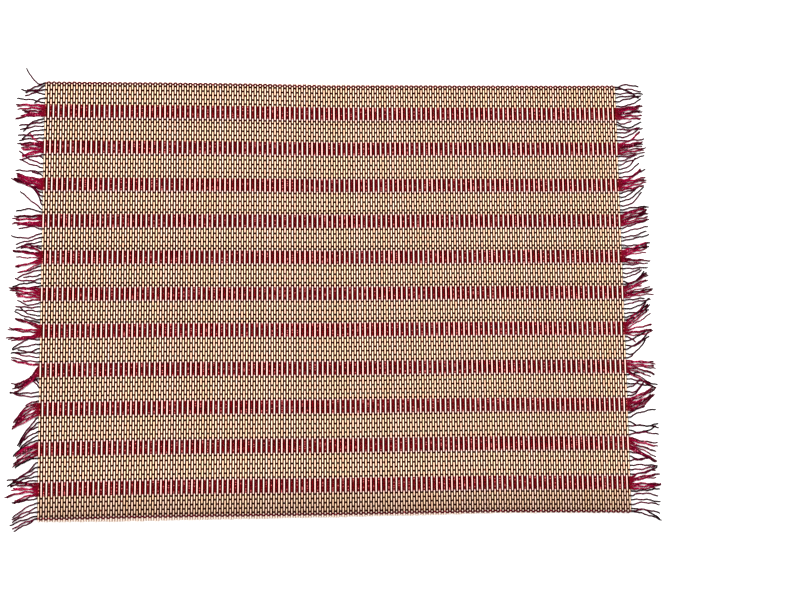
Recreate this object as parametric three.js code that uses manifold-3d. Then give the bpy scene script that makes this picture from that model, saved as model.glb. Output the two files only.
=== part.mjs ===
// A woven placemat of bamboo sticks, lying flat. Its warp threads run along X, its sticks along Y, and the
// thread ends stand out past the first and the last stick as a fringe. Millimetres, +Z up, the origin at the
// middle of the mat on the surface that it lies on.
import * as THREE from "three";
import { mergeVertices } from "three/addons/utils/BufferGeometryUtils.js";
import Module from "manifold-3d";

const wasm = await Module();
wasm.setup();

// Sticks
const stickCount = 233;
const stickPitch = 1.75;
const stickWidth = 1.45;
const stickLength = 305;
const matThickness = 2.0; // a stick with the thread on its two faces
const crownWidth = 0.85; // flat along the top of a stick
const shoulderHeight = 1.5; // where a stick's side starts to slope in
const endUnevenness = 0.5; // how much the cut ends differ
const topEdgeHollow = 0.7; // the top edge runs in at mid width

// What holds the sticks: the sheet of threads between them, from one edge thread to the other
const sheetBottom = 0.5;
const sheetTop = 1.35;
const topThreadY = 150.15;
const bottomThreadY = -149.6;
const threadBow = 0.0085; // rows stand this share further out at the mat's sides
const bowSteps = 12;

// Threads
const bandYarnsBuilt = 5; // locks that stand for a band's ends
const twinedPlyOffset = 0.45;
const bandToRow = 1.7; // from a band's edge to the nearest plain row
const edgeToRow = 1.9; // from an edge thread to the nearest plain row
const rowsBetweenBands = 6;
const rowsAtTheEnds = 5;

// Fringe
const stripGap = 0.3; // between the last stick and the strip of roots
const stripWidth = 1.0;
const stripHeight = 1.4;
const stripOverrun = 1.2; // past the edge thread at each end
const rootDepth = 0.45; // how far a root goes into its strip
const rootHeight = 0.3;
const strandWidth = 0.5;
const strandHeight = 0.5;
const strandSpacing = 0.78; // the least from one strand to the next, along Y
const spacingPasses = 60;
const reachUnevenness = 3.5;
const stations = [0, 3, 9, 15, 25]; // how far out from the strip the strands bend
const easeOut = [0, 0.04, 0.34, 0.68, 1]; // share of the lean reached at each station

// The red bands, from the top edge down: the middle and the height of each.
const bands = [
  { y: 130.4, height: 8.4 },
  { y: 105.0, height: 8.4 },
  { y: 78.5, height: 8.2 },
  { y: 52.9, height: 8.2 },
  { y: 27.4, height: 8.3 },
  { y: 1.9, height: 8.2 },
  { y: -23.4, height: 8.2 },
  { y: -49.9, height: 8.4 },
  { y: -76.4, height: 8.6 },
  { y: -103.1, height: 8.7 },
  { y: -130.1, height: 8.7 },
];

// How each stretch of fringe lies, from the top edge down: lean is how far its tips lie above their roots,
// spread the share of the roots' spacing that the tips keep, and reach its length out from the mat.
const fringes = {
  left: [
    { part: "end", lean: 0.5, spread: 1.1, reach: 16 },
    { part: "band", lean: 0, spread: 1.15, reach: 20 },
    { part: "plain", lean: -2.4, spread: 1.0, reach: 17 },
    { part: "band", lean: -1.6, spread: 1.2, reach: 18.5 },
    { part: "plain", lean: 3.0, spread: 0.9, reach: 17 },
    { part: "band", lean: 5.6, spread: 0.5, reach: 21.5 },
    { part: "plain", lean: 8.5, spread: 0.6, reach: 16 },
    { part: "band", lean: 1.0, spread: 0.8, reach: 21 },
    { part: "plain", lean: -2.1, spread: 1.0, reach: 17 },
    { part: "band", lean: 0, spread: 2.0, reach: 19 },
    { part: "plain", lean: -2.6, spread: 0.9, reach: 16 },
    { part: "band", lean: 2.0, spread: 0.9, reach: 21.5 },
    { part: "plain", lean: 3.0, spread: 1.0, reach: 16 },
    { part: "band", lean: 1.5, spread: 1.8, reach: 22 },
    { part: "plain", lean: 0, spread: 0.5, reach: 19.5 },
    { part: "band", lean: -7.5, spread: 0.9, reach: 18 },
    { part: "plain", lean: -2.4, spread: 0.8, reach: 17 },
    { part: "band", lean: -8.5, spread: 0.6, reach: 18 },
    { part: "plain", lean: -12, spread: 0.45, reach: 14 },
    { part: "band", lean: -7.6, spread: 0.9, reach: 18 },
    { part: "plain", lean: -7.3, spread: 0.8, reach: 19 },
    { part: "band", lean: -3.0, spread: 1.0, reach: 19 },
    { part: "end", lean: -5.0, spread: 1.3, reach: 18 },
  ],
  right: [
    { part: "end", lean: -0.5, spread: 0.6, reach: 18 },
    { part: "band", lean: 2.4, spread: 1.0, reach: 19.5 },
    { part: "plain", lean: 3.3, spread: 0.9, reach: 17 },
    { part: "band", lean: 1.6, spread: 1.0, reach: 20 },
    { part: "plain", lean: 5.9, spread: 0.7, reach: 16 },
    { part: "band", lean: 4.0, spread: 0.9, reach: 20 },
    { part: "plain", lean: 6.4, spread: 0.7, reach: 17 },
    { part: "band", lean: 5.7, spread: 1.0, reach: 20.5 },
    { part: "plain", lean: 4.9, spread: 1.2, reach: 19 },
    { part: "band", lean: 2.5, spread: 1.7, reach: 20 },
    { part: "plain", lean: 5.2, spread: 0.4, reach: 16 },
    { part: "band", lean: 4.2, spread: 1.0, reach: 21 },
    { part: "plain", lean: 7.0, spread: 0.6, reach: 19 },
    { part: "band", lean: 8.5, spread: 1.6, reach: 20 },
    { part: "plain", lean: 7.0, spread: 0.8, reach: 17 },
    { part: "band", lean: -0.5, spread: 1.4, reach: 22 },
    { part: "plain", lean: 2.5, spread: 0.8, reach: 18 },
    { part: "band", lean: 6.5, spread: 0.9, reach: 19 },
    { part: "plain", lean: 1.5, spread: 1.1, reach: 19 },
    { part: "band", lean: -6.5, spread: 0.9, reach: 20 },
    { part: "plain", lean: 0, spread: 0.5, reach: 19 },
    { part: "band", lean: 1.6, spread: 1.1, reach: 20 },
    { part: "end", lean: -2.5, spread: 1.2, reach: 19 },
  ],
};

// The same uneven number from -0.5 to 0.5 each time for the same seed.
function uneven(seed) {
  const wave = Math.sin(seed * 12.9898) * 43758.5453;
  return wave - Math.floor(wave) - 0.5;
}

const halfSpan = ((stickCount - 1) / 2) * stickPitch;
const lastStickSide = halfSpan + stickWidth / 2;

// 0 at the middle of the mat's width and 1 at its sides, bent as the rows are
const sideShare = (x) => (x / halfSpan) ** 2;

function solidOf(geometry) {
  geometry.deleteAttribute("normal");
  geometry.deleteAttribute("uv");
  const merged = mergeVertices(geometry);
  const mesh = new wasm.Mesh({
    numProp: 3,
    vertProperties: merged.attributes.position.array,
    triVerts: new Uint32Array(merged.index.array),
  });
  return new wasm.Manifold(mesh);
}

function geometryOf(solid) {
  const mesh = solid.getMesh();
  const geometry = new THREE.BufferGeometry();
  geometry.setAttribute("position", new THREE.BufferAttribute(mesh.vertProperties, 3));
  geometry.setIndex(new THREE.BufferAttribute(mesh.triVerts, 1));
  geometry.computeVertexNormals();
  return geometry;
}

function joined(solids) {
  return solids.reduce((whole, next) => whole.add(next));
}

// One stick: its section, with a flat underside and sloping shoulders, drawn out along Y between its ends.
function stickGeometry(index) {
  const x = index * stickPitch - halfSpan;
  const top = stickLength / 2 - topEdgeHollow * (1 - sideShare(x)) + endUnevenness * uneven(index + 1);
  const bottom = -stickLength / 2 + endUnevenness * uneven(index + 500);
  const section = new THREE.Shape();
  section.moveTo(-stickWidth / 2, 0);
  section.lineTo(stickWidth / 2, 0);
  section.lineTo(stickWidth / 2, shoulderHeight);
  section.lineTo(crownWidth / 2, matThickness);
  section.lineTo(-crownWidth / 2, matThickness);
  section.lineTo(-stickWidth / 2, shoulderHeight);
  section.closePath();
  const stick = new THREE.ExtrudeGeometry(section, { depth: top - bottom, bevelEnabled: false });
  stick.rotateX(Math.PI / 2);
  stick.translate(x, top, 0);
  return stick;
}

// The thread sheet between the sticks, whose two long edges follow the bowed edge threads.
function threadSheetGeometry() {
  const outline = new THREE.Shape();
  const edge = (y, step) => {
    const x = halfSpan * ((2 * step) / bowSteps - 1);
    return [x, y * (1 + threadBow * sideShare(x))];
  };
  outline.moveTo(...edge(bottomThreadY, 0));
  for (let step = 1; step <= bowSteps; step += 1) outline.lineTo(...edge(bottomThreadY, step));
  for (let step = bowSteps; step >= 0; step -= 1) outline.lineTo(...edge(topThreadY, step));
  outline.closePath();
  const sheet = new THREE.ExtrudeGeometry(outline, { depth: sheetTop - sheetBottom, bevelEnabled: false });
  sheet.translate(0, 0, sheetBottom);
  return sheet;
}

// The Y of each thread's root in each stretch of fringe, from the top edge down.
function rootsByStretch() {
  const stretches = [];
  const spread = (from, to, count) =>
    Array.from({ length: count }, (_, i) => from + ((to - from) * i) / (count - 1));
  const topOf = (band) => band.y + band.height / 2;
  const bottomOf = (band) => band.y - band.height / 2;
  bands.forEach((band, i) => {
    const first = i === 0;
    const from = first ? topThreadY - edgeToRow : bottomOf(bands[i - 1]) - bandToRow;
    const rows = spread(from, topOf(band) + bandToRow, first ? rowsAtTheEnds : rowsBetweenBands);
    if (first) rows.unshift(topThreadY + twinedPlyOffset, topThreadY - twinedPlyOffset);
    stretches.push(rows);
    stretches.push(spread(topOf(band) - strandWidth, bottomOf(band) + strandWidth, bandYarnsBuilt));
  });
  const lastRows = spread(bottomOf(bands.at(-1)) - bandToRow, bottomThreadY + edgeToRow, rowsAtTheEnds);
  lastRows.push(bottomThreadY + twinedPlyOffset, bottomThreadY - twinedPlyOffset);
  stretches.push(lastRows);
  return stretches.map((roots) => roots.map((y) => y * (1 + threadBow)));
}

// Pushes neighbours apart, from the top edge down, until all keep the least spacing.
function keptApart(ys) {
  const out = [...ys];
  for (let pass = 0; pass < spacingPasses; pass += 1) {
    for (let i = 1; i < out.length; i += 1) {
      const short = strandSpacing - (out[i - 1] - out[i]);
      if (short > 0) {
        out[i - 1] += short / 2;
        out[i] -= short / 2;
      }
    }
  }
  return out;
}

// The strands of one side: each has its Y at every station, and its own reach.
function strandsOf(side) {
  const strands = rootsByStretch().flatMap((roots, stretch) => {
    const { lean, spread, reach } = fringes[side][stretch];
    const middle = (roots[0] + roots.at(-1)) / 2;
    return roots.map((root) => ({
      root,
      tip: middle + lean + (root - middle) * spread,
      reach: reach + reachUnevenness * uneven(root),
    }));
  });
  strands.sort((a, b) => b.root - a.root);
  const columns = easeOut.map((share) =>
    keptApart(strands.map(({ root, tip }) => root + (tip - root) * share)));
  return strands.map((strand, i) => ({ ys: columns.map((column) => column[i]), reach: strand.reach }));
}

// A strand as a three-sided loft that leaves the strip a little above the surface and then lies level on it.
function strandGeometry({ ys, reach }) {
  const rings = [{ out: -rootDepth, y: ys[0], z: rootHeight }];
  for (let k = 1; k < stations.length; k += 1) {
    const share = Math.min(1, (reach - stations[k - 1]) / (stations[k] - stations[k - 1]));
    rings.push({
      out: stations[k - 1] + share * (stations[k] - stations[k - 1]),
      y: ys[k - 1] + share * (ys[k] - ys[k - 1]),
      z: 0,
    });
    if (share < 1) break;
  }
  const points = rings.flatMap(({ out, y, z }) => [
    out, y - strandWidth / 2, z,
    out, y + strandWidth / 2, z,
    out, y, z + strandHeight,
  ]);
  const faces = [0, 2, 1];
  for (let r = 0; r < rings.length - 1; r += 1) {
    for (let side = 0; side < 3; side += 1) {
      const a = 3 * r + side;
      const b = 3 * r + ((side + 1) % 3);
      faces.push(a, b, b + 3, a, b + 3, a + 3);
    }
  }
  const last = 3 * (rings.length - 1);
  faces.push(last, last + 1, last + 2);
  const strand = new THREE.BufferGeometry();
  strand.setAttribute("position", new THREE.Float32BufferAttribute(points, 3));
  strand.setIndex(faces);
  return strand;
}

// One side's fringe, built outwards along +X from the strip's outer face, then turned to its side.
function fringeGeometry(side) {
  const ends = [topThreadY, bottomThreadY].map((y) => y * (1 + threadBow));
  const strip = new THREE.BoxGeometry(stripWidth, ends[0] - ends[1] + 2 * stripOverrun, stripHeight);
  strip.translate(-stripWidth / 2, (ends[0] + ends[1]) / 2, stripHeight / 2);
  const strands = strandsOf(side).map((strand) => solidOf(strandGeometry(strand)));
  const fringe = joined([solidOf(strip), ...strands]);
  const outerFace = lastStickSide + stripGap + stripWidth;
  const placed = fringe.translate([outerFace, 0, 0]);
  return geometryOf(side === "right" ? placed : placed.mirror([1, 0, 0]));
}

const bamboo = new THREE.MeshStandardMaterial({ color: 0xe9d3ac, roughness: 0.6, metalness: 0 });
const redYarn = new THREE.MeshStandardMaterial({ color: 0x8f0a35, roughness: 0.9, metalness: 0 });

const placemat = new THREE.Group();

const stickSolids = Array.from({ length: stickCount }, (_, index) => solidOf(stickGeometry(index)));
const wovenSticks = new THREE.Mesh(
  geometryOf(joined([solidOf(threadSheetGeometry()), ...stickSolids])), bamboo);
wovenSticks.name = "woven_sticks";
placemat.add(wovenSticks);

for (const side of ["left", "right"]) {
  const fringe = new THREE.Mesh(fringeGeometry(side), redYarn);
  fringe.name = `fringe_${side}`;
  placemat.add(fringe);
}

export default placemat;
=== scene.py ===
import math
from collections import namedtuple

import bpy
import numpy as np
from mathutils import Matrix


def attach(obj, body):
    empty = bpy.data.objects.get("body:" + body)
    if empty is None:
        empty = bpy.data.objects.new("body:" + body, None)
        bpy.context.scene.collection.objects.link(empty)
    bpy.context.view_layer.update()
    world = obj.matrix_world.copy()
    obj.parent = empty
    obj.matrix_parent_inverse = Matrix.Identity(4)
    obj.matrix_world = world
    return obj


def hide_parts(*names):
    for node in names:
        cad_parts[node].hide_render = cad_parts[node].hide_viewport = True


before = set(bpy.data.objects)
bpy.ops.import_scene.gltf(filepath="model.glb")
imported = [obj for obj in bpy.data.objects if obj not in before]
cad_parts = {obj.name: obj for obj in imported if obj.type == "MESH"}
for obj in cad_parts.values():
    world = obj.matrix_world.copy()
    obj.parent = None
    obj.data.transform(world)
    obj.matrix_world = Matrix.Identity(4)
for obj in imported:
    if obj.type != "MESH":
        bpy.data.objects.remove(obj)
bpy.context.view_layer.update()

MM = 0.001

# All sizes are in millimetres where nothing else is said, in the frame's own axes: sticks along Y and
# threads along X.

# Sizes of the sticks
STICKS = 233
STICK_PITCH = 1.75
STICK_WIDTH = 1.68
STICK_LENGTH = 305.0
STICK_LOW, STICK_HIGH = 0.40, 1.60
HALF_SPAN = (STICKS - 1) / 2 * STICK_PITCH
MIDDLE_Z = (STICK_LOW + STICK_HIGH) / 2
END_UNEVENNESS = 0.5
THINNEST, WIDEST = 0.96, 1.03  # as shares of the stick's width
STICK_RINGS, STICK_SIDES = 12, 12
SQUARED_ACROSS, SQUARED_UPWARD = 0.75, 0.62  # powers under 1 that make a round section squarer
TONE_BETA = (1.4, 2.2)  # the spread of the sticks' tones, more of them near cream than near straw

# A stick bends to the side in two waves along Y and swells, as a share of its width, in a third. radian: the
# length over which a wave turns by one radian. phases: how many times it takes the stick's own phase.
Wave = namedtuple("Wave", "size radian phases")
SLOW_BEND, QUICK_BEND, SWELL = Wave(0.05, 31, 1), Wave(0.03, 12, 2), Wave(0.02, 18, 3)

# Sizes of the woven threads
TOP_THREAD_Y, BOTTOM_THREAD_Y = 150.15, -149.6
THREAD_BOW = 0.0085  # rows stand this share further out at the mat's sides
EDGE_TO_ROW = 1.9
BAND_TO_ROW = 1.43
ROWS_BETWEEN_BANDS, ROWS_AT_THE_ENDS = 6, 5
ROW_UNEVENNESS, CROSSING_UNEVENNESS = 0.05, 0.045
YARNS_IN_A_BAND = 12
ROW_HALF_WIDTH, YARN_HALF_WIDTH, EDGE_PLY_HALF_WIDTH = 0.55, 0.36, 0.58
THREAD_HALF_HEIGHT = 0.20
THREAD_SIDES, EDGE_PLY_SIDES = 4, 6
THREAD_OFF_STICK = 0.18
THREAD_RISE = STICK_HIGH - MIDDLE_Z + THREAD_OFF_STICK  # from the mat's middle to a thread on a stick
CROWN = 0.42  # a thread lies level this far to each side of a stick's middle
EDGE_PLY_OFFSET = 0.4  # the edge thread's two plies arch this far to each side of its line
ARCH_ASIDES = (-0.62, -0.3, 0.3, 0.62)
ARCH_RISES = (0.6, 1.0, 1.0, 0.6)

# The first or the last two rows of some plain stretches lie closer together than the others, this far apart.
# The plain stretches are counted down the mat from the one at its top edge, which is 0.
CLOSE_ROWS = 1.95
CLOSE_FIRST_ROWS, CLOSE_LAST_ROWS = (1,), (3, 4, 5, 6)

# Sizes of the loose ends. By these shares of its way out an end ripples in full, has come down to the
# surface, has turned to its lean and has closed up with its clump.
RIPPLED_BY, FALLEN_BY, BENT_BY, CLOSED_BY = 0.15, 0.2, 0.28, 0.45
LOOSE_HALF_HEIGHT = 0.28
LOOSE_RINGS, LOOSE_SIDES = 19, 6
LONGEST = 1.03  # as a share of the reach in the table below
TIP_TAPER = 0.8
SURFACE_GAP = 0.02
DRAWN_IN = 0.62  # how far a clump's yarns close up, as a share of the way to its middle
Ripple = namedtuple("Ripple", "size length")
CRIMP, MEANDER = Ripple(0.12, 3.5), Ripple(0.28, 9.0)
RIPPLE_UNEVENNESS = 0.05  # of a whole wave
TIP_CURL, TIP_CURL_POWER = 0.4, 4
LIFT_POWER = 0.6
CLUMP_TONE, OWN_TONE = 0.7, 0.3

Band = namedtuple("Band", "y height")
BANDS = [
    Band(130.3, 8.8), Band(104.95, 8.8), Band(78.7, 8.7), Band(53.25, 8.7), Band(27.75, 8.9), Band(2.2, 8.7),
    Band(-23.2, 8.9), Band(-49.85, 8.9), Band(-76.3, 8.9), Band(-103.0, 9.1), Band(-130.0, 9.0),
]

# How far each of these sticks lies off its even spacing, towards the right, at its top, middle and bottom
Spacing = namedtuple("Spacing", "stick top middle bottom")
SPACINGS = [
    Spacing(1, 0.3, -0.15, 0.4), Spacing(20, 0.8, 0.5, 0.1), Spacing(60, 1.5, 1.2, 0.05),
    Spacing(90, 1.9, 1.25, -0.05), Spacing(120, 1.8, 1.3, 0.25), Spacing(160, 1.25, 0.8, 0.45),
    Spacing(190, 1.05, 0.75, 0.8), Spacing(220, 1.0, 1.1, 1.35), Spacing(233, 0.35, 0.85, 0.9),
]

# How far the rows waver up the mat, by place along X: those at the top edge, a third down and at the bottom
Waver = namedtuple("Waver", "x top upper bottom")
WAVERS = [
    Waver(-200, 0.45, -0.10, 0.35), Waver(-120, 1.15, 0.18, 0.30), Waver(-60, 1.20, 0.15, 0.05),
    Waver(-5, 0.35, -0.25, -0.05), Waver(60, 0.80, 0.25, 0.50), Waver(110, 0.85, 0.45, 0.90),
    Waver(200, 0.65, 0.45, 0.35),
]
UPPER_ROWS_Y = 50.0

# How far the sticks' ends stand past the edge threads, by place along X
Overhang = namedtuple("Overhang", "x top bottom")
OVERHANGS = [
    Overhang(-200, 1.05, 1.7), Overhang(-150, 1.05, 2.7), Overhang(-60, 1.15, 2.3), Overhang(0, 1.9, 1.9),
    Overhang(60, 1.1, 1.8), Overhang(100, 0.9, 1.2), Overhang(200, 0.95, 0.6),
]

# How each stretch of fringe lies, from the top edge down, with a value for each clump of ends: a single
# thread of a plain stretch, or a few of a band's yarns. lean: how far the tip lies above its root.
# reach: how far out it comes. bow: how far the middle of its way lies above a straight one.
Stretch = namedtuple("Stretch", "lean reach bow")
FRINGES = {
    "left": [
        Stretch((11.0, -6.6, -3, 0.1, -1.8, -3.7, 2.7), (13.9, 14.1, 16.8, 13.5, 14.5, 7.8, 20.1),
                (-4.6, 0.6, -2.3, -0.7, 1.7, 1.3, 0.8)),
        Stretch((0.4, -0.4, 0.4, -1.1, -2), (20.9, 20.8, 16, 18.4, 20.4), (0.4, 0.6, 0, 0.8, 1.2)),
        Stretch((-8.2, -2.7, -3.6, -5.7, -0.2, -1.3), (15.3, 17.9, 17.9, 16, 18.2, 18.2),
                (2.6, 0, 1.1, 2.2, -0.8, 0.5)),
        Stretch((5.2, 0, 0, 0, -0.7, -3.2, -3.5), (11, 18.6, 17.7, 18.3, 16.4, 17.4, 16.4),
                (-2.7, 0.3, 0.3, 0, 0, 0.5, 0.8)),
        Stretch((-3.2, 2.8, 8.5, 5.9, 1, 3.2), (17.2, 7.1, 18, 17.2, 20.2, 8.4),
                (0.4, 0.6, -1.7, -0.7, 0.1, 0)),
        Stretch((4.1, 5.5, 6.1, 7.1), (19.7, 19.4, 20.4, 22.8), (-1, -1, -1, -1)),
        Stretch((10.2, 11.5, 13, 14.5, 13.1, 0.7), (20.8, 20, 16, 12.4, 16.4, 18.6),
                (0, 2.4, 3, 4, -0.5, 2)),
        Stretch((-0.2, -0.3, -0.2, 1), (20, 20.8, 21.2, 17.5), (0, 0, 0, 0)),
        Stretch((0, -2.2, -4.3, -2.1, -1.7, 0.5), (16.3, 21.6, 18.9, 13.3, 14.4, 18.4),
                (1.7, -2.1, 0, 0, 0.5, 2.5)),
        Stretch((4.1, 2.6, 4, 0, -4.5, -3.2, -7), (15.5, 19.8, 19.8, 19.8, 18.3, 18.3, 17.4),
                (0.5, 0.3, 0.3, 0, -0.3, -0.3, 0.3)),
        Stretch((-4.8, -4.8, -2.1, -0.5, -2.7, -1.5), (16.9, 16.6, 12.5, 18.2, 19.8, 14.7),
                (-0.5, 0.8, -0.3, -1.2, 1.3, -0.4)),
        Stretch((0, 2.5, 3, 1.2, 0.7, -1), (22.3, 19.8, 22.3, 18.2, 17.9, 13.4), (0.5, 0, -0.5, 0, 0, 0)),
        Stretch((1.9, 0.6, 1, 5.1, 5.4, 2.8), (16.9, 18, 17.6, 14.8, 18.7, 11.6),
                (-2.5, -0.6, 0, -1.8, -0.8, -0.3)),
        Stretch((5, 6.2, 1.8, 3, -2, -2.5), (18.8, 18.8, 22.9, 22, 24.2, 20.8),
                (0.3, 0.3, -0.5, -1, -0.8, 0)),
        Stretch((-6.5, -3.4, -0.6, -0.1, 3.2, 3.5), (18.9, 18.9, 15.1, 20.5, 19.1, 20),
                (3.2, 0.5, -1.8, 0.2, -0.7, -1)),
        Stretch((3.6, -11.4, -13.6, -13.9, -9.4, -7), (19.5, 19.2, 18.7, 18, 15.5, 18),
                (-0.8, -3.3, -3.1, -2.2, -0.8, 0.3)),
        Stretch((-6.4, 5.1, 7.6, -0.5, 2.5, -3.2), (14.7, 6.8, 6.8, 20.8, 20.8, 9.4),
                (0.8, 0.2, -0.6, -0.4, -1.2, 0.5)),
        Stretch((-12.2, -11.2, -9.8, -9.5, -9.4, -9.5), (18.8, 17.5, 15.8, 16.5, 17.9, 18.4),
                (4, 3.2, 2.3, 1.4, 0.7, 0.3)),
        Stretch((-18.8, -16.3, -13.5, -6.9, -9.3, -9.8), (14.1, 13, 14.4, 11.8, 12.8, 17),
                (2.8, 2.5, 3, 0.7, 1.9, 1.5)),
        Stretch((-7.6, -7.3, -6.8, -7.0, -7.9, -8.3), (17.4, 16.6, 15.2, 15.8, 16.8, 18.1),
                (1, 1, 1, 1, 1, 0.8)),
        Stretch((-6.2, -13.4, -10, -5.5, -6, -4.4), (15.8, 18.2, 17.4, 21.1, 21.7, 18.8),
                (1.3, -0.7, 0.7, -0.9, 0.8, 1.2)),
        Stretch((1.3, 0.9, 0.4, -0.4, -3.2, -4, -5.5), (17.9, 18.5, 17.9, 17.9, 22.2, 17.9, 17.2),
                (-0.5, 0.4, -0.4, 0.5, 1.2, 0.8, 1)),
        Stretch((-2.9, -9.7, -7.9, -7.2, -5.6, -6.6, -7.6), (17.4, 16.7, 17.2, 17.2, 18.6, 17.4, 16.1),
                (0, 1.5, 0.6, 1.3, 0.6, 0.8, -0.2)),
    ],
    "right": [
        Stretch((-0.3, -7.4, -1, 0, 0.4, 4.8, 6.2), (18.2, 17.2, 19.2, 20.6, 18.2, 19.7, 20),
                (2, 1.6, 1, 0.7, 1, 0, -2.2)),
        Stretch((2.9, 3.2, 2.7, 1.4, 0.8), (20.3, 19.2, 20, 20.6, 20), (0, 0, 0, 0, 0)),
        Stretch((1.1, 2.9, 1, 5.5, 6.7, 0.9), (11.5, 18.6, 20.2, 16.2, 17.8, 20.7),
                (-1.6, -3.3, -1, -2, -2.7, 0)),
        Stretch((9.2, 2.9, 3.2, 3.2, 2.5, 1.8, 0.8), (19.2, 19.7, 21, 20.8, 21.3, 21.9, 20.6),
                (-2.7, 0, 0, 0, 0, 0, 0)),
        Stretch((1.8, 4.7, 7.5, 8, 7.5, 6.2), (14.7, 13.7, 20, 13.7, 16, 20.3),
                (-0.4, -1.2, -0.2, -2.7, -2.2, -1.9)),
        Stretch((8.8, 4, 4.9, 4.3, 3.4), (17, 21.6, 20.5, 21.4, 19.7), (-2.8, -0.3, -0.3, -0.3, -0.3)),
        Stretch((4.5, 7.6, 11.3, 10.2, 2.7, 3.6), (14.5, 14.3, 19, 16.7, 21.5, 20.2),
                (-0.6, -2.4, -2.8, -3.8, 0.5, -0.3)),
        Stretch((6, 6, 6.1, 5.5, 5), (19.6, 22, 21.3, 21.6, 21.3), (0, 0, 0, 0, 0)),
        Stretch((6.2, 4.8, 4.7, 4.8, 1.8, 1.5), (19.8, 20.2, 19.7, 21, 21.2, 21),
                (0, 0.2, -1.3, -0.3, -0.8, -0.8)),
        Stretch((6.7, 5.7, 5, 3.6, -1.7, 0.1, -1.3), (20.8, 21, 21, 21, 16, 21, 21.3),
                (-0.8, -0.5, 0, 0.5, 0, 0, 0)),
        Stretch((0.8, 0.9, 3.1, 5.6, 7.2, 9.4), (15.3, 18.9, 13.9, 14.4, 16.5, 18.7),
                (-0.4, 0, -1.3, -1.7, -4.5, -2.7)),
        Stretch((9.6, 6.9, 5.6, 4.3, 4, 3.9, 3.6), (19.3, 19, 14.7, 20.3, 21.6, 21.4, 22.2),
                (-0.5, 0, 0, 0, 0, 0, 0)),
        Stretch((1.8, 3.6, 7, 3.5, 9.7, 10.4), (15.7, 20.9, 19.2, 18.5, 18.1, 19.5),
                (0, 0.4, -2, -1, -2.5, -2.5)),
        Stretch((13.7, 13.7, 11.6, 10.9, 3.5, 2.5, 1.4), (17.6, 19, 18.6, 21.4, 21.4, 22.8, 19.7),
                (-1, -1, -0.8, -0.8, 0.3, -0.5, -1.3)),
        Stretch((-4.6, 8.4, 8.9, 9.5, 9.7, 3), (8.3, 16.7, 17.4, 18, 15.6, 6),
                (1.6, -1.5, -3.6, -1.2, -3.8, -1)),
        Stretch((-0.4, -1.1, -1.6, -2.8, -4.9, -5.6, -9.4, -10.6),
                (22.5, 23.2, 21.8, 21.8, 21.4, 20.4, 18, 21.8), (0, 0.5, 0.5, 0.8, 1, 0.6, 0.4, 0.6)),
        Stretch((1.3, -4.2, -3.2, 5.3, 7.4, 9.5), (13.4, 22.5, 21.8, 10, 13.4, 12.5),
                (0.6, 0.6, 0.9, -1.2, -3.3, -3)),
        Stretch((9, 8, 4.4, 6.2, 8.6, 10.3, 11.5), (21.3, 20.5, 17, 18.5, 19.5, 19.5, 20.6),
                (-1, -1, -0.5, -0.8, -1.8, -2.8, -3.6)),
        Stretch((5, 5.4, -1.4, -1, 1.8, 0), (13, 20.4, 22.2, 22.9, 20.4, 21.8),
                (-0.2, 0.8, -2.4, 0.8, -2.2, 1.4)),
        Stretch((-3.9, -4.6, -6.5, -9, -10.2, -9.6, -8.8), (22, 21.6, 21, 19.5, 19.5, 19.8, 20.2),
                (-0.5, 0, 0, 0.4, 0.6, 0.4, 0)),
        Stretch((-5, -1.4, 1, -1.2, 2.2, 3.8), (15.5, 13.4, 11.3, 20.4, 19.5, 19.8),
                (1, -1.1, 0, 0.8, -0.7, -1.3)),
        Stretch((4.8, 3.5, 3.2, -0.7, 0.7, 1), (19.5, 21.6, 21.3, 22, 22, 19.2),
                (0.7, 0.5, 0.3, 0.3, -0.5, -1)),
        Stretch((1.3, -0.7, -2.1, -0.9, -6.7, -2.1, -6.3), (21.6, 19.8, 21.2, 20.9, 20.9, 20.2, 21.6),
                (0, 1.8, 1.2, 1.5, 2.3, 1.8, 0.8)),
    ],
}

random = np.random.default_rng(233)


# Places on the mat

def side_share(x):
    """0 at the middle of the mat's width and 1 at its sides."""
    return (x / HALF_SPAN) ** 2


def read_off(rows, by, at):
    """What a table's other columns say at that value of its column by, one after the other."""
    keys = [getattr(row, by) for row in rows]
    names = [name for name in rows[0]._fields if name != by]
    return [np.interp(at, keys, [getattr(row, name) for row in rows]) for name in names]


def row_height(x, y):
    """How far up the mat a row of middle height y lies at x, with the rows' bow and waver."""
    top, upper, bottom = read_off(WAVERS, "x", x)
    above = np.clip((y - UPPER_ROWS_Y) / (TOP_THREAD_Y - UPPER_ROWS_Y), 0, 1)
    below = np.clip((y - UPPER_ROWS_Y) / (BOTTOM_THREAD_Y - UPPER_ROWS_Y), 0, 1)
    return y * (1 + THREAD_BOW * side_share(x)) + upper + (top - upper) * above + (bottom - upper) * below


def even_x(number):
    """Where a stick's middle would lie if all were evenly spaced."""
    return (number - 1) * STICK_PITCH - HALF_SPAN


def stick_x(number, y):
    """Where a stick's middle lies at y: on a parabola through its places at the top, middle and bottom."""
    top, middle, bottom = read_off(SPACINGS, "stick", number)
    up = y / (STICK_LENGTH / 2)
    return even_x(number) + middle + (top - bottom) / 2 * up + ((top + bottom) / 2 - middle) * up ** 2


# Meshes

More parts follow.
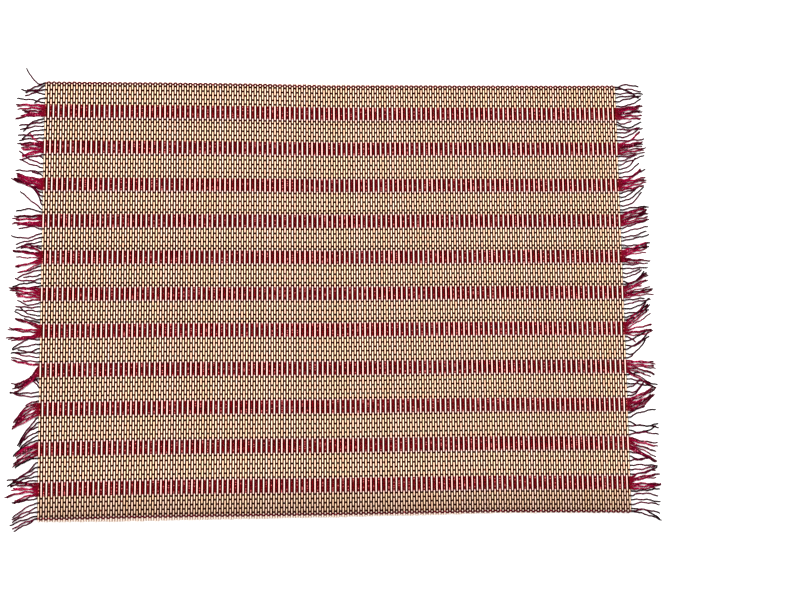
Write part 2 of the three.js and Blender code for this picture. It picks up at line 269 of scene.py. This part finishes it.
def piece(name, points, faces, material, values, corner_uv=None):
    """A mesh piece from points and lists of faces that all have one count of corners each.

    values are its point attributes, by name.
    """
    mesh = bpy.data.meshes.new(name)
    corners = np.concatenate([np.asarray(group, np.int32).ravel() for group in faces])
    counts = np.concatenate([np.full(len(group), group.shape[1], np.int32) for group in faces])
    starts = np.concatenate([[0], np.cumsum(counts)[:-1]]).astype(np.int32)
    mesh.vertices.add(len(points))
    mesh.vertices.foreach_set("co", (np.asarray(points) * MM).astype(np.float32).ravel())
    mesh.loops.add(len(corners))
    mesh.loops.foreach_set("vertex_index", corners)
    mesh.polygons.add(len(counts))
    mesh.polygons.foreach_set("loop_start", starts)
    mesh.polygons.foreach_set("loop_total", counts)
    mesh.polygons.foreach_set("use_smooth", np.ones(len(counts), bool))
    mesh.update(calc_edges=True)
    if corner_uv is not None:
        layer = mesh.uv_layers.new(name="along_thread")
        layer.data.foreach_set("uv", np.asarray(corner_uv, np.float32).ravel())
    for key, value in values.items():
        attribute = mesh.attributes.new(key, "FLOAT", "POINT")
        attribute.data.foreach_set("value", np.asarray(value, np.float32).ravel())
    mesh.materials.append(material)
    made = bpy.data.objects.new(name, mesh)
    bpy.context.scene.collection.objects.link(made)
    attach(made, "root")
    return made


def tubes(name, paths, half_width, half_height, sides, material, tone, along_sticks=None):
    """Closed tubes along paths (tube, ring, xyz). half_width lies level and half_height stands up.

    A tube of four sides is a bar, with its flats and not its corners at those distances. along_sticks, for
    woven threads, is each ring's place counted in sticks. The map along_thread has the length along a tube
    in millimetres and the turn around it.
    """
    paths = np.asarray(paths, float)
    count, rings = paths.shape[:2]
    along = np.gradient(paths, axis=1)
    along /= np.linalg.norm(along, axis=2, keepdims=True)
    level = np.cross([0.0, 0.0, 1.0], along)
    level /= np.linalg.norm(level, axis=2, keepdims=True)
    up = np.cross(along, level)
    angle = 2 * np.pi * np.arange(sides) / sides + np.pi / sides
    to_corner = 1 / np.cos(np.pi / sides) if sides == 4 else 1.0
    wide = np.broadcast_to(half_width, (count, rings))[:, :, None, None]
    tall = np.broadcast_to(half_height, (count, rings))[:, :, None, None]
    points = (paths[:, :, None, :]
              + level[:, :, None, :] * wide * to_corner * np.cos(angle)[None, None, :, None]
              + up[:, :, None, :] * tall * to_corner * np.sin(angle)[None, None, :, None])
    index = np.arange(count * rings * sides).reshape(count, rings, sides)
    around = np.roll(index, -1, axis=2)
    quads = np.stack([index[:, :-1], around[:, :-1], around[:, 1:], index[:, 1:]], axis=-1).reshape(-1, 4)
    ends = np.concatenate([index[:, 0, ::-1], index[:, -1]])
    woven = along_sticks is not None
    if woven:
        run = np.broadcast_to(along_sticks, (count, rings)) * STICK_PITCH
    else:
        steps = np.linalg.norm(np.diff(paths, axis=1), axis=2)
        run = np.concatenate([np.zeros((count, 1)), np.cumsum(steps, axis=1)], axis=1)
    from_turn = np.arange(sides) / sides
    from_run = np.broadcast_to(run[:, :-1, None], (count, rings - 1, sides))
    to_run = np.broadcast_to(run[:, 1:, None], (count, rings - 1, sides))
    low = np.broadcast_to(from_turn, from_run.shape)
    high = np.broadcast_to(from_turn + 1 / sides, from_run.shape)
    uv = np.stack([from_run, low, from_run, high, to_run, high, to_run, low], axis=-1).reshape(-1, 2)
    uv = np.concatenate([uv, np.zeros((ends.size, 2))])
    tones = np.broadcast_to(np.asarray(tone)[:, None, None], (count, rings, sides))
    values = {"tone": tones, "woven": np.full(tones.shape, float(woven))}
    return piece(name, points.reshape(-1, 3), [quads, ends], material, values, corner_uv=uv)


# Node materials

SPECULAR_LEVEL = 0.08


def new_material(name):
    """A node material, its shader, and a function that adds a node with its inputs and settings."""
    material = bpy.data.materials.new(name)
    material.use_nodes = True
    nodes, links = material.node_tree.nodes, material.node_tree.links
    shader = nodes["Principled BSDF"]

    def node(kind, inputs=None, **settings):
        made = nodes.new(kind)
        for key, value in settings.items():
            setattr(made, key, value)
        for key, value in (inputs or {}).items():
            if isinstance(value, bpy.types.NodeSocket):
                links.new(value, made.inputs[key])
            else:
                made.inputs[key].default_value = value
        return made

    return material, shader, node


def math_node(node, operation, a, b=0.0, c=0.0):
    return node("ShaderNodeMath", {0: a, 1: b, 2: c}, operation=operation).outputs[0]


def mixed(node, share, a, b):
    """A mix of two colours: sockets or colour values."""
    return node("ShaderNodeMix", {0: share, 6: a, 7: b}, data_type="RGBA").outputs[2]


def ramp(node, value, low, high, at_low, at_high, kind="LINEAR"):
    """at_low where the value is low or less, at_high where it is high or more, and in between in between."""
    inputs = {"Value": value, 1: low, 2: high, 3: at_low, 4: at_high}
    return node("ShaderNodeMapRange", inputs, interpolation_type=kind).outputs[0]


def layered(node, base, colour, follows, start, full, share):
    """base with a colour over it: none where the value it follows is start, and share of it at full."""
    return mixed(node, ramp(node, follows, start, full, 0.0, share), base, colour)


def mesh_value(node, name):
    return node("ShaderNodeAttribute", attribute_name=name).outputs["Fac"]


def noise(node, place, scale, detail):
    return node("ShaderNodeTexNoise", {"Vector": place, "Scale": scale, "Detail": detail}).outputs["Fac"]


def finished(material, shader, node, colour, rough, height, strength, distance):
    """The material, with its colour, roughness and bump on its shader."""
    links = material.node_tree.links
    links.new(colour, shader.inputs["Base Color"])
    links.new(rough, shader.inputs["Roughness"])
    shader.inputs["Specular IOR Level"].default_value = SPECULAR_LEVEL
    bump = node("ShaderNodeBump", {"Height": height, "Strength": strength, "Distance": distance}).outputs[0]
    links.new(bump, shader.inputs["Normal"])
    return material


def bamboo_material():
    """Split bamboo, paler in bands and at its ends, with painted shade on its flanks and a painted shadow of
    the gaps between sticks at its sides.
    """
    cream, straw, peach = (1.0, 0.845, 0.815, 1), (0.99, 0.86, 0.65, 1), (1.0, 0.72, 0.56, 1)
    patch_colour, grain_colour = (0.98, 0.66, 0.51, 1), (0.72, 0.55, 0.31, 1)
    band_colour, end_colour = (1.0, 0.83, 0.80, 1), (1.0, 0.93, 0.89, 1)
    # painted shade for the flanks of the rounded sticks, redder in the bands
    plain_flank_shade, band_flank_shade = (0.98, 0.54, 0.22, 1), (1.0, 0.38, 0.32, 1)
    # painted shadow of the gaps between sticks, laid on the sticks' outer sides
    red_gap_shade, brown_gap_shade = (0.085, 0.003, 0.0004, 1), (0.045, 0.010, 0.0002, 1)
    patch_scale, fibre_scale = (900.0, 55.0, 300.0), (7000.0, 160.0, 7000.0)
    band_share = 0.75

    material, shader, node = new_material("bamboo_stick")
    place = node("ShaderNodeTexCoord").outputs["Object"]
    tint, edge = mesh_value(node, "tint"), mesh_value(node, "edge")
    past = mesh_value(node, "past_edge_thread")
    patch_place = node("ShaderNodeMapping", {"Vector": place, "Scale": patch_scale}).outputs[0]
    patches = noise(node, patch_place, scale=1.0, detail=2.0)
    fibre_place = node("ShaderNodeMapping", {"Vector": place, "Scale": fibre_scale}).outputs[0]
    fibres = noise(node, fibre_place, scale=1.0, detail=3.0)

    base = mixed(node, mesh_value(node, "tone"), cream, straw)
    base = layered(node, base, peach, tint, start=0.55, full=1.0, share=0.45)
    base = layered(node, base, patch_colour, patches, start=0.50, full=0.70, share=0.55)
    base = layered(node, base, grain_colour, fibres, start=0.40, full=0.75, share=0.26)
    height = node("ShaderNodeSeparateXYZ", {0: place}).outputs[1]
    in_a_band = 0.0
    for band in BANDS:
        here = math_node(node, "COMPARE", height, band.y * MM, (band.height / 2 + BAND_TO_ROW / 2) * MM)
        in_a_band = math_node(node, "ADD", in_a_band, here)
    base = mixed(node, math_node(node, "MULTIPLY", in_a_band, band_share), base, band_colour)
    # Painted shade: the flanks darken towards the sides, as light falls off over a rounded stick.
    flank_shade_colour = mixed(node, in_a_band, plain_flank_shade, band_flank_shade)
    base = layered(node, base, flank_shade_colour, edge, start=0.18, full=0.48, share=0.85)
    base = layered(node, base, end_colour, past, start=-1.3, full=-0.7, share=0.6)
    # Painted shadow of the gaps between sticks at the stick's sides, fainter past the edge threads where the
    # ends stand apart.
    shade = ramp(node, edge, low=0.38, high=0.60, at_low=0.0, at_high=1.0, kind="SMOOTHSTEP")
    beside_sticks = ramp(node, past, low=0.2, high=0.7, at_low=1.0, at_high=0.4)
    gap_shade_colour = mixed(node, tint, red_gap_shade, brown_gap_shade)
    base = mixed(node, math_node(node, "MULTIPLY", shade, beside_sticks), base, gap_shade_colour)
    rough = ramp(node, fibres, low=0.3, high=0.7, at_low=0.42, at_high=0.62)
    return finished(material, shader, node, base, rough, fibres, strength=0.35, distance=0.0002)


# How far the twist, a crossing's own chance and the fuzz take a thread from its deep to its bright colour
TWIST_SHARE, CROSSING_SHARE, FUZZ_SHARE = 0.4, 0.35, 0.5
# painted shade for a woven thread where it goes down beside a stick
DIVE_SHADE_COLOUR = (0.012, 0.0008, 0.0008, 1)
FUZZ_SCALE = 2600.0
TONE_CELLS = 977.0  # sets threads of unlike tone far apart in the noise that picks their crossings
TIP_UNEVENNESS = 5.0  # millimetres, between the places where the ends of least and most tone darken
FUZZ_HEIGHT, ARCH_HEIGHT = 0.4, -16.0  # in the bump, where the twist's height is 1


def thread_material(name, deep, bright, glint, glints, lay, streaks=0.3, dive=0.9, root=None, tip=None):
    """Spun cotton with a twist of that lay in millimetres, from the threads' own map of length and turn.

    streaks is how much of the way from the deep colour to the bright one depends on the thread. Where a
    woven thread lies over a stick it has painted shade, by the share dive, where it goes down at both sides,
    so that it looks lit in its middle. A share of those places, glints, is the paler colour glint, a painted
    highlight as where the twist turns its fibres to the light. A loose end has the colours root and tip at
    its two ends.
    """
    material, shader, node = new_material(name)
    spot = node("ShaderNodeUVMap", uv_map="along_thread").outputs[0]
    parts = node("ShaderNodeSeparateXYZ", {0: spot}).outputs
    run, turn = parts[0], parts[1]
    tone, woven = mesh_value(node, "tone"), mesh_value(node, "woven")
    two_plies = math_node(node, "MULTIPLY", turn, 2.0)
    turns = math_node(node, "ADD", math_node(node, "DIVIDE", run, lay), two_plies)
    wave = math_node(node, "SINE", math_node(node, "MULTIPLY", turns, 2 * math.pi))
    twist = math_node(node, "MULTIPLY_ADD", wave, 0.5, 0.5)
    fuzz = noise(node, node("ShaderNodeTexCoord").outputs["Object"], FUZZ_SCALE, detail=3.0)

    stick = math_node(node, "DIVIDE", run, STICK_PITCH)
    cell = math_node(node, "ROUND", stick)
    aside = math_node(node, "ABSOLUTE", math_node(node, "SUBTRACT", stick, cell))
    cell_spot = {0: cell, 1: math_node(node, "MULTIPLY", tone, TONE_CELLS)}
    cell_spot = node("ShaderNodeCombineXYZ", cell_spot).outputs[0]
    chance = node("ShaderNodeTexWhiteNoise", {"Vector": cell_spot}).outputs["Value"]

    share = math_node(node, "MULTIPLY", twist, TWIST_SHARE)
    share = math_node(node, "MULTIPLY_ADD", tone, streaks, share)
    share = math_node(node, "MULTIPLY_ADD", chance, CROSSING_SHARE, share)
    share = math_node(node, "SUBTRACT", share, (TWIST_SHARE + streaks) / 2)
    share = math_node(node, "MULTIPLY_ADD", fuzz, FUZZ_SHARE, share)
    colour = mixed(node, node("ShaderNodeClamp", {"Value": share}).outputs[0], deep, bright)
    # Painted highlight: the glint colour in the middle of a share of the stick-long cells along a thread.
    glinting = math_node(node, "GREATER_THAN", chance, 1.0 - glints)
    middle = ramp(node, aside, low=0.05, high=0.20, at_low=0.85, at_high=0.0, kind="SMOOTHSTEP")
    colour = mixed(node, math_node(node, "MULTIPLY", glinting, middle), colour, glint)
    # Painted shade where a woven thread goes down beside a stick.
    dive_shade = ramp(node, aside, low=0.12, high=0.29, at_low=0.0, at_high=dive, kind="SMOOTHSTEP")
    colour = mixed(node, math_node(node, "MULTIPLY", dive_shade, woven), colour, DIVE_SHADE_COLOUR)
    if tip:
        to_tip = math_node(node, "MULTIPLY_ADD", tone, -TIP_UNEVENNESS, run)
        colour = layered(node, colour, tip, to_tip, start=9.5, full=17.0, share=0.75)
        near_root = ramp(node, run, low=1.5, high=5.0, at_low=0.75, at_high=0.0)
        colour = mixed(node, near_root, colour, root)

    rough = ramp(node, fuzz, low=0.3, high=0.7, at_low=0.75, at_high=0.95)
    arch = math_node(node, "MULTIPLY", math_node(node, "MULTIPLY", aside, aside), woven)
    height = math_node(node, "MULTIPLY_ADD", fuzz, FUZZ_HEIGHT, twist)
    height = math_node(node, "MULTIPLY_ADD", arch, ARCH_HEIGHT, height)
    return finished(material, shader, node, colour, rough, height, strength=0.6, distance=0.00012)


BAMBOO = bamboo_material()
DARK_THREAD = thread_material(
    "dark_thread", deep=(0.012, 0.0010, 0.0003, 1), bright=(0.085, 0.007, 0.001, 1),
    glint=(0.24, 0.05, 0.03, 1), glints=0.06, lay=1.1)
EDGE_THREAD = thread_material(
    "edge_thread", deep=(0.040, 0.0003, 0.003, 1), bright=(0.26, 0.003, 0.026, 1),
    glint=(0.55, 0.12, 0.14, 1), glints=0.08, lay=1.1, dive=0.35)
RED_YARN = thread_material(
    "red_yarn", deep=(0.065, 0.0003, 0.0008, 1), bright=(0.42, 0.004, 0.018, 1),
    glint=(0.90, 0.30, 0.30, 1), glints=0.16, lay=1.3)
LOOSE_THREAD = thread_material(
    "loose_thread", deep=(0.003, 0.0001, 0.0005, 1), bright=(0.19, 0.0004, 0.045, 1),
    glint=(0.3, 0.03, 0.08, 1), glints=0.0, lay=1.1, streaks=0.8,
    root=(0.003, 0.0001, 0.0005, 1), tip=(0.004, 0.0001, 0.0008, 1))
LOOSE_YARN = thread_material(
    "loose_yarn", deep=(0.022, 0.0002, 0.003, 1), bright=(0.50, 0.003, 0.090, 1),
    glint=(0.90, 0.28, 0.42, 1), glints=0.14, lay=1.3, streaks=0.75,
    root=(0.20, 0.0006, 0.016, 1), tip=(0.034, 0.0002, 0.005, 1))


# Sticks

def squared_off(values, power):
    """Sines or cosines of a section's corners, moved outward by a power under 1."""
    return np.sign(values) * np.abs(values) ** power


def sway(y, phase, wave):
    """A wave's height at y, along each stick by its phase."""
    return wave.size * np.sin(y / wave.radian + wave.phases * phase)


def sticks():
    """Every stick by itself, in one mesh, with the attributes that its material reads."""
    angle = 2 * np.pi * np.arange(STICK_SIDES) / STICK_SIDES
    across = squared_off(np.cos(angle), SQUARED_ACROSS)
    upward = squared_off(np.sin(angle), SQUARED_UPWARD)
    number = np.arange(1, STICKS + 1)
    x = even_x(number)
    beyond_top, beyond_bottom = read_off(OVERHANGS, "x", x)
    top_row, bottom_row = row_height(x, TOP_THREAD_Y), row_height(x, BOTTOM_THREAD_Y)
    top = top_row + beyond_top + END_UNEVENNESS * random.uniform(-0.5, 0.5, STICKS)
    bottom = bottom_row - beyond_bottom + END_UNEVENNESS * random.uniform(-0.5, 0.5, STICKS)
    width = STICK_WIDTH * random.uniform(THINNEST, WIDEST, STICKS)
    y = bottom[:, None] + (top - bottom)[:, None] * np.linspace(0, 1, STICK_RINGS)
    phase = random.uniform(0, 2 * np.pi, (STICKS, 1))
    x = stick_x(number[:, None], y) + sway(y, phase, SLOW_BEND) + sway(y, phase, QUICK_BEND)
    half_width = width[:, None] / 2 * (1 + sway(y, phase, SWELL))
    shape = (STICKS, STICK_RINGS, STICK_SIDES)
    points = np.empty((*shape, 3))
    points[..., 0] = x[:, :, None] + half_width[:, :, None] * across
    points[..., 1] = y[:, :, None]
    points[..., 2] = MIDDLE_Z + (STICK_HIGH - STICK_LOW) / 2 * upward
    index = np.arange(STICKS * STICK_RINGS * STICK_SIDES).reshape(shape)
    turned = np.roll(index, -1, axis=2)
    quads = np.stack([index[:, :-1], index[:, 1:], turned[:, 1:], turned[:, :-1]], axis=-1).reshape(-1, 4)
    ends = np.concatenate([index[:, 0], index[:, -1, ::-1]])
    past = np.maximum(y - top_row[:, None], bottom_row[:, None] - y)
    values = {
        "tone": random.beta(*TONE_BETA, STICKS)[:, None, None],
        "tint": random.random(STICKS)[:, None, None],
        "edge": np.abs(across),
        "past_edge_thread": past[:, :, None],
    }
    values = {name: np.broadcast_to(value, shape) for name, value in values.items()}
    made = piece("bamboo_sticks", points.reshape(-1, 3), [quads, ends], BAMBOO, values)
    return made


# Woven threads

def woven_paths(ys, order, offset=0.0, flip=False, rises=(1.0, 1.0), asides=(-CROWN, CROWN)):
    """Paths of threads at these heights up the mat, all over the same sticks: the odd ones if order is even.

    flip gives the other sticks. Over a stick a path is moved up the mat by offset and under it down by as
    much. rises and asides give its height over the mat's middle, as a share, and its place beside the
    stick's middle, ring by ring. The second result is each ring's place counted in sticks.
    """
    number = np.arange(1, STICKS + 1)
    over = ((number + order) % 2 == 1) ^ flip
    ys = np.asarray(ys, float)
    side = np.where(over, 1.0, -1.0)[:, None]
    y = row_height(even_x(number), ys[:, None]) + random.normal(0, CROSSING_UNEVENNESS, (len(ys), STICKS))
    paths = np.empty((len(ys), STICKS, len(asides), 3))
    paths[..., 0] = stick_x(number, y)[..., None] + np.asarray(asides)
    paths[..., 1] = y[..., None] + offset * side * np.asarray(rises)
    paths[..., 2] = MIDDLE_Z + THREAD_RISE * side * np.asarray(rises)
    along = (number[:, None] + np.asarray(asides) / STICK_PITCH).ravel()
    return paths.reshape(len(ys), -1, 3), along


def plain_rows(stretch, start, end, count):
    """The heights of a plain stretch's rows, with the two rows that lie close where it has such."""
    rows = np.linspace(start, end, count)
    if stretch in CLOSE_FIRST_ROWS:
        rows[1:] = np.linspace(start - CLOSE_ROWS, end, count - 1)
    if stretch in CLOSE_LAST_ROWS:
        rows[:-1] = np.linspace(start, end + CLOSE_ROWS, count - 1)
    return rows


def stretches():
    """Each stretch of the weave, from the top edge down: its kind and its threads' heights up the mat."""
    found = []
    start, count = TOP_THREAD_Y - EDGE_TO_ROW, ROWS_AT_THE_ENDS
    for number, band in enumerate(BANDS):
        high, low = band.y + band.height / 2, band.y - band.height / 2
        rows = plain_rows(number, start, high + BAND_TO_ROW, count)
        rows[1:-1] += random.normal(0, ROW_UNEVENNESS, count - 2)
        found.append(("plain", rows))
        inset = band.height / YARNS_IN_A_BAND / 2
        found.append(("band", np.linspace(high - inset, low + inset, YARNS_IN_A_BAND)))
        start, count = low - BAND_TO_ROW, ROWS_BETWEEN_BANDS
    found.append(("plain", np.linspace(start, BOTTOM_THREAD_Y + EDGE_TO_ROW, ROWS_AT_THE_ENDS)))
    return found


def edge_plies(y, order):
    """The two plies of the edge thread at that height, which cross between each two sticks."""
    arch = {"offset": math.copysign(EDGE_PLY_OFFSET, y), "rises": ARCH_RISES, "asides": ARCH_ASIDES}
    ply, along = woven_paths([y], order, **arch)
    other, along = woven_paths([y], order, flip=True, **arch)
    other[..., 1] = 2 * row_height(other[..., 0], y) - other[..., 1]
    return np.concatenate([ply, other]), along


def weave():
    """All woven threads, and for the fringe each stretch's kind and its threads' two ends."""
    made, roots = [], []
    order = 0
    for number, (kind, ys) in enumerate(stretches()):
        if kind == "plain":
            rows = [woven_paths([y], order + 1 + k) for k, y in enumerate(ys)]
            paths, along = np.concatenate([row[0] for row in rows]), rows[0][1]
            order += len(ys)
            name, half_width, material = f"dark_rows_{number // 2:02d}", ROW_HALF_WIDTH, DARK_THREAD
        else:
            order += 1
            paths, along = woven_paths(ys, order)
            name, half_width, material = f"red_band_{number // 2 + 1:02d}", YARN_HALF_WIDTH, RED_YARN
        tone = random.random(len(ys))
        made.append(tubes(name, paths, half_width, THREAD_HALF_HEIGHT, THREAD_SIDES, material, tone, along))
        roots.append((kind, paths[:, [0, -1]]))
    for name, y, row_order in (("top", TOP_THREAD_Y, 1), ("bottom", BOTTOM_THREAD_Y, order)):
        plies, along = edge_plies(y, row_order)
        made.append(tubes(f"edge_thread_{name}", plies, EDGE_PLY_HALF_WIDTH, THREAD_HALF_HEIGHT,
                          EDGE_PLY_SIDES, EDGE_THREAD, random.random(len(plies)), along))
        ply_ends = plies[:, [0, -1]]
        if name == "top":
            roots[0] = ("plain", np.concatenate([ply_ends, roots[0][1]]))
        else:
            roots[-1] = ("plain", np.concatenate([roots[-1][1], ply_ends]))
    return made, roots


# Fringe

# shortest: an end's least reach, as a share of the table's. spread: how far a yarn strays from its clump.
# lift: the most that the middle of an end stands off the surface.
Loose = namedtuple("Loose", "name material half_width shortest spread lift")
LOOSE_ENDS = {
    "plain": Loose("dark", LOOSE_THREAD, half_width=0.53, shortest=0.97, spread=0.0, lift=0.6),
    "band": Loose("red", LOOSE_YARN, half_width=0.44, shortest=0.88, spread=0.14, lift=1.0),
}


def clumped(start, clumps):
    """Which clump each yarn is in, and how far its root lies above the middle of its clump's roots."""
    clump = np.minimum(np.arange(len(start)) * clumps // len(start), clumps - 1)
    middles = np.array([start[clump == k, 1].mean() for k in range(clumps)])
    return clump, start[:, 1] - middles[clump]


def eased(share, done):
    """From 0 at a root to 1 at the share done and past it, smooth at both."""
    part = np.clip(share / done, 0, 1)
    return part * part * (3 - 2 * part)


def rippled(share, reach, clump, ripple):
    """A sine along each yarn, nearly alike for all of a clump."""
    phase = random.random(clump.max() + 1)[clump] + random.normal(0, RIPPLE_UNEVENNESS, len(clump))
    return ripple.size * np.sin(2 * np.pi * (share * reach[:, None] / ripple.length + phase[:, None]))


def loose_paths(start, stretch, outward, loose):
    """The ends of one stretch's threads: out from the last stick, down to the surface and along it.

    Gives their paths, from these starts, and their tones.
    """
    count = len(start)
    share = np.linspace(0, 1, LOOSE_RINGS)
    clump, apart = clumped(start, len(stretch.lean))
    lean, reach, bow = (np.asarray(values, float)[clump] for values in stretch)
    reach = reach * random.uniform(loose.shortest, LONGEST, count)
    stray = loose.spread * random.normal(0, 1, (count, 1))
    closing = (stray - DRAWN_IN * apart[:, None]) * eased(share, CLOSED_BY)
    ripples = rippled(share, reach, clump, CRIMP) + rippled(share, reach, clump, MEANDER)
    ripples *= np.clip(share / RIPPLED_BY, 0, 1)
    curl = random.normal(0, TIP_CURL, (count, 1)) * share ** TIP_CURL_POWER
    way = lean[:, None] * share + bow[:, None] * np.sin(np.pi * share)
    way *= eased(share, BENT_BY)
    lying = LOOSE_HALF_HEIGHT + SURFACE_GAP
    lift = random.random((count, 1)) * loose.lift
    rest = lying + lift * np.sin(np.pi * share) ** LIFT_POWER
    fallen = eased(share, FALLEN_BY)
    paths = np.empty((count, LOOSE_RINGS, 3))
    paths[..., 0] = start[:, None, 0] + outward * reach[:, None] * share
    paths[..., 1] = start[:, None, 1] + way + closing + ripples + curl
    paths[..., 2] = np.maximum(start[:, None, 2], lying) * (1 - fallen) + rest * fallen
    tones = CLUMP_TONE * random.random(clump.max() + 1)[clump] + OWN_TONE * random.random(count)
    return paths, tones


def fringe(side, roots):
    """One side's thread ends, in a piece for the single threads' and one for the bands'."""
    end, outward = (0, -1) if side == "left" else (1, 1)
    gathered = {kind: [] for kind in LOOSE_ENDS}
    for (kind, ends), stretch in zip(roots, FRINGES[side]):
        gathered[kind].append(loose_paths(ends[:, end], stretch, outward, LOOSE_ENDS[kind]))
    taper = np.append(np.ones(LOOSE_RINGS - 1), TIP_TAPER)
    made = []
    for kind, loose in LOOSE_ENDS.items():
        paths, tones = (np.concatenate(parts) for parts in zip(*gathered[kind]))
        strands = tubes(f"fringe_{side}_{loose.name}", paths, loose.half_width * taper,
                        LOOSE_HALF_HEIGHT * taper, LOOSE_SIDES, loose.material, tones)
        made.append(strands)
    return made


STICK_PIECE = sticks()
THREADS, ROOTS = weave()
FRINGE = {side: fringe(side, ROOTS) for side in ("left", "right")}

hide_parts("woven_sticks")
for side, ends in FRINGE.items():
    for strands in ends:
        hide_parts(f"fringe_{side}")


# Surface, light and camera, in metres

def surface(half, tint):
    mesh = bpy.data.meshes.new("surface")
    corners = [(-half, -half, 0), (half, -half, 0), (half, half, 0), (-half, half, 0)]
    mesh.from_pydata(corners, [], [(0, 1, 2, 3)])
    material, shader, _ = new_material("pale_surface")
    shader.inputs["Base Color"].default_value = (*tint, 1)
    shader.inputs["Roughness"].default_value = 0.9
    shader.inputs["Specular IOR Level"].default_value = 0.0
    mesh.materials.append(material)
    made = bpy.data.objects.new("surface", mesh)
    bpy.context.scene.collection.objects.link(made)


def soft_light(name, place, size, watts):
    data = bpy.data.lights.new(name, "AREA")
    data.size = size
    data.energy = watts
    made = bpy.data.objects.new(name, data)
    made.location = place
    made.rotation_euler = (-made.location).to_track_quat("-Z", "Y").to_euler()
    bpy.context.scene.collection.objects.link(made)


def surroundings(strength):
    world = bpy.data.worlds.new("studio")
    world.use_nodes = True
    background = world.node_tree.nodes["Background"]
    background.inputs["Color"].default_value = (1.0, 1.0, 1.0, 1)
    background.inputs["Strength"].default_value = strength
    bpy.context.scene.world = world


def photo_camera(place, turn, shift):
    """The photograph's camera. turn is in degrees, and the shift follows its frame of 800 by 600 pixels."""
    data = bpy.data.cameras.new("camera")
    data.lens = 50
    data.shift_x, data.shift_y = shift
    made = bpy.data.objects.new("camera", data)
    made.location = place
    made.rotation_euler = [math.radians(angle) for angle in turn]
    bpy.context.scene.collection.objects.link(made)
    bpy.context.scene.camera = made


surface(half=3.0, tint=(0.95, 0.95, 0.95))
soft_light("key", place=(-1.0, 1.8, 3.0), size=1.4, watts=75)
surroundings(strength=0.80)
photo_camera(place=(-0.0531, -0.0744, 0.7732), turn=(6.172, -3.081, -0.445), shift=(0.10, -0.02))
view = bpy.context.scene.view_settings
view.view_transform = "Standard"
view.exposure = 0.46
view.gamma = 0.78
